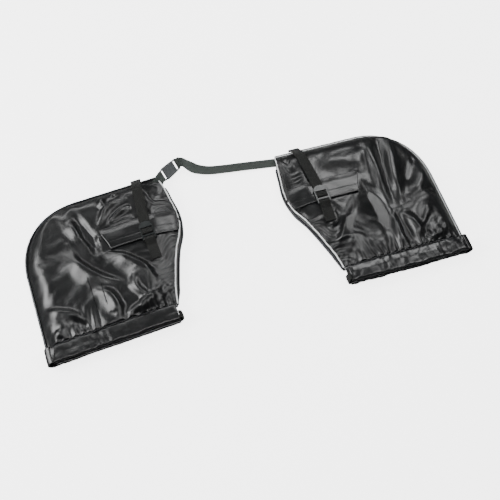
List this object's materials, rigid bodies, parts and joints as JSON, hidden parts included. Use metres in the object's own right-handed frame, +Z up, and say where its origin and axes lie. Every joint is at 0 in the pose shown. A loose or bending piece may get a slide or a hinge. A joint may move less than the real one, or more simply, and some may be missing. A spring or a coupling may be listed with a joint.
{
  "type": "handlebar muffs",
  "caption": "Mirrored pair of flat padded hand covers with open cuffs, slotted inner edges, flaps and clamp straps, joined by webbing with a side-release buckle.",
  "frame": {"origin": "middle of the base of the box round the pair, lying flat", "axes": "+X from the left muff to the right one, +Y from the cuffs to the clamp straps, +Z up"},
  "size_m": [1.0088, 0.4688, 0.0456],
  "materials": {
    "nylon": "glossy woven",
    "padding": "fibre wadding",
    "lining": "brushed knit",
    "webbing": "woven webbing",
    "grey_webbing": "woven webbing",
    "tape": "hook and loop",
    "reflective": "silver reflective",
    "elastic": "woven elastic",
    "plastic": "satin",
    "grey_plastic": "satin"
  },
  "bodies": {
    "left_muff": {"left_back_shell": "nylon", "left_back_padding": "padding", "left_back_lining": "lining", "left_front_lining": "lining", "left_front_padding": "padding", "left_front_shell": "nylon", "left_edge_binding": "nylon", "left_edge_piping": "reflective", "left_mouth_piping_upper": "reflective", "left_mouth_piping_lower": "reflective", "left_mouth_piping_back": "reflective", "left_cuff_hem_front": "nylon", "left_cuff_hem_back": "nylon", "left_cuff_elastic_front": "elastic", "left_cuff_elastic_back": "elastic", "left_cuff_side_turn": "nylon", "left_cuff_corner_tack": "webbing", "left_slot_flap": "nylon", "left_flap_loop_tape": "tape", "left_clamp_strap": "webbing", "left_strap_anchor": "webbing", "socket_loop": "grey_webbing"},
    "left_flap": {"left_slot_flap_end": "nylon", "left_flap_hook_tape": "tape"},
    "left_lock": {"left_ladder_lock": "plastic"},
    "right_muff": {"right_back_shell": "nylon", "right_back_padding": "padding", "right_back_lining": "lining", "right_front_lining": "lining", "right_front_padding": "padding", "right_front_shell": "nylon", "right_edge_binding": "nylon", "right_edge_piping": "reflective", "right_mouth_piping_upper": "reflective", "right_mouth_piping_lower": "reflective", "right_mouth_piping_back": "reflective", "right_cuff_hem_front": "nylon", "right_cuff_hem_back": "nylon", "right_cuff_elastic_front": "elastic", "right_cuff_elastic_back": "elastic", "right_cuff_side_turn": "nylon", "right_cuff_corner_tack": "webbing", "right_slot_flap": "nylon", "right_flap_loop_tape": "tape", "right_clamp_strap": "webbing", "right_strap_anchor": "webbing", "joining_strap_end": "grey_webbing"},
    "right_flap": {"right_slot_flap_end": "nylon", "right_flap_hook_tape": "tape"},
    "right_lock": {"right_ladder_lock": "plastic"},
    "socket": {"buckle_socket": "grey_plastic"},
    "plug": {"buckle_plug": "grey_plastic"},
    "far_prong": {"buckle_prong_far": "grey_plastic"},
    "near_prong": {"buckle_prong_near": "grey_plastic"},
    "strap": {"joining_strap": "grey_webbing"}
  },
  "joints": [
    {"name": "buckle_pivot", "type": "hinge", "parent": "left_muff", "child": "socket", "pos_m": [-0.13636, 0.19592, 0.0175], "axis": [-0.2781, 0.5017, 0.8192], "range_deg": [-12, 0]},
    {"name": "plug_slide", "type": "slide", "parent": "socket", "child": "plug", "axis": [0.8746, 0.4848, 0], "range_m": [0, 0.03], "deforming": ["buckle_prong_far", "buckle_prong_near"]},
    {"name": "prong_press_far", "type": "hinge", "parent": "plug", "child": "far_prong", "pos_m": [-0.10642, 0.21823, 0.02463], "axis": [0.3971, -0.7164, 0.5736], "range_deg": [0, 8], "stiffness_Nm_per_rad": 0.06},
    {"name": "prong_press_near", "type": "hinge", "parent": "plug", "child": "near_prong", "pos_m": [-0.10158, 0.2095, 0.01037], "axis": [0.3971, -0.7164, 0.5736], "range_deg": [-8, 0], "stiffness_Nm_per_rad": 0.06},
    {"name": "strap_hinge", "type": "hinge", "parent": "plug", "child": "strap", "pos_m": [-0.09088, 0.22113, 0.0175], "axis": [-0.2781, 0.5017, 0.8192], "range_deg": [-15, 0]},
    {"name": "bag_fold", "type": "hinge", "parent": "strap", "child": "right_muff", "pos_m": [0.145, 0.15506, 0.0022], "axis": [0.1633, 0.9866, 0], "range_deg": [-60, 0]},
    {"name": "left_lock_tilt", "type": "hinge", "parent": "left_muff", "child": "left_lock", "pos_m": [-0.20984, 0.0243, 0.0418], "axis": [0.9992, 0.0396, 0], "range_deg": [0, 20], "deforming": ["left_clamp_strap"]},
    {"name": "left_flap_lift", "type": "hinge", "parent": "left_muff", "child": "left_flap", "pos_m": [-0.27988, 0.08687, 0.0349], "axis": [-0.9992, -0.0396, 0], "range_deg": [0, 70]},
    {"name": "right_lock_tilt", "type": "hinge", "parent": "right_muff", "child": "right_lock", "pos_m": [0.20984, -0.0127, 0.0418], "axis": [0.9992, -0.0396, 0], "range_deg": [0, 20], "deforming": ["right_clamp_strap"]},
    {"name": "right_flap_lift", "type": "hinge", "parent": "right_muff", "child": "right_flap", "pos_m": [0.27988, 0.04987, 0.0349], "axis": [-0.9992, 0.0396, 0], "range_deg": [0, 70]}
  ],
  "couplings": [
    {"joint": "prong_press_near", "follows": "prong_press_far", "ratio": -1}
  ]
}
